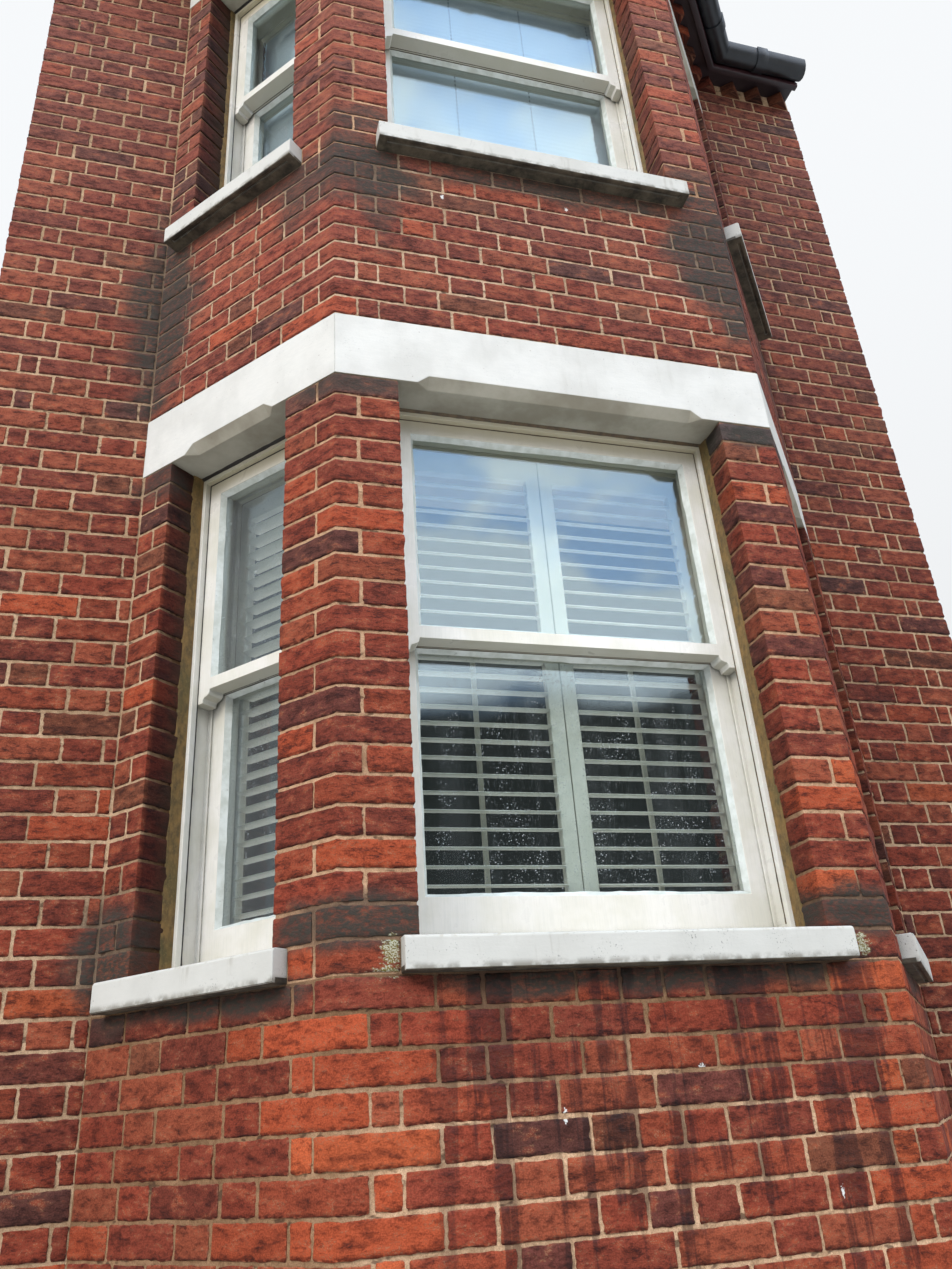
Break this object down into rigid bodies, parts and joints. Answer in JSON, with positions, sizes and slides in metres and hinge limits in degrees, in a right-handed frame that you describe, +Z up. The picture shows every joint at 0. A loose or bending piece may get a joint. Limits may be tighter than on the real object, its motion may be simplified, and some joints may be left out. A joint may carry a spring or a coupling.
{
  "type": "two-storey canted bay window",
  "caption": "Two-storey canted brick bay with sash windows, painted stone sills and lintels, louvred shutters, blinds, dog-tooth eaves, gutter and hipped slate roof.",
  "frame": {"origin": "on the ground, in the middle of the overall plan", "axes": "+Z up, the bay's front faces -Y, +X to the right of someone inside looking out is -X, so +X is to the right of someone who faces the front from outside"},
  "size_m": [3.586, 1.069, 7.2382],
  "materials": {
    "brick": "rough red facing brick in sandy lime mortar",
    "painted_stone": "masonry paint, weathered",
    "painted_timber": "white gloss paint on timber",
    "window_glass": "clear window glass",
    "shutter_paint": "satin white paint",
    "blind_fabric": "pale woven cloth",
    "floor_boards": "bare pine boards on joists",
    "ceiling_plaster": "painted plaster",
    "eaves_paint": "old dark red-black gloss paint",
    "gutter_iron": "black painted cast iron",
    "roof_slate": "natural slate"
  },
  "bodies": {
    "root": {"apron_wall_front": "brick", "apron_wall_left": "brick", "apron_wall_right": "brick", "bay_ceiling": "ceiling_plaster", "blinds_first": "blind_fabric", "bottom_sashes_first": "painted_timber", "bottom_sashes_ground": "painted_timber", "dogtooth_course": "brick", "eaves_filling": "brick", "eaves_moulding": "eaves_paint", "fascia": "eaves_paint", "first_floor": "floor_boards", "ground_floor": "floor_boards", "gutter_bay_front": "gutter_iron", "gutters_bay_sides": "gutter_iron", "gutters_house_wall": "gutter_iron", "house_wall_left": "brick", "house_wall_right": "brick", "lintel_lower_front": "painted_stone", "lintel_upper_front": "painted_stone", "lintels_lower_sides": "painted_stone", "lintels_upper_sides": "painted_stone", "main_roof_slopes": "roof_slate", "pier_lower_left": "brick", "pier_lower_right": "brick", "pier_upper_left": "brick", "pier_upper_right": "brick", "roof_slope_front": "roof_slate", "roof_slopes_sides": "roof_slate", "sash_box_first_front": "painted_timber", "sash_box_ground_front": "painted_timber", "sash_boxes_first_sides": "painted_timber", "sash_boxes_ground_sides": "painted_timber", "shutter_frames_ground": "shutter_paint", "shutter_louvres_ground": "shutter_paint", "sills_lower": "painted_stone", "sills_upper": "painted_stone", "soffit": "eaves_paint", "spandrel_wall_front": "brick", "spandrel_wall_left": "brick", "spandrel_wall_right": "brick", "top_sashes_first": "painted_timber", "top_sashes_ground": "painted_timber", "window_boards": "painted_timber", "window_glass": "window_glass"}
  },
  "joints": []
}
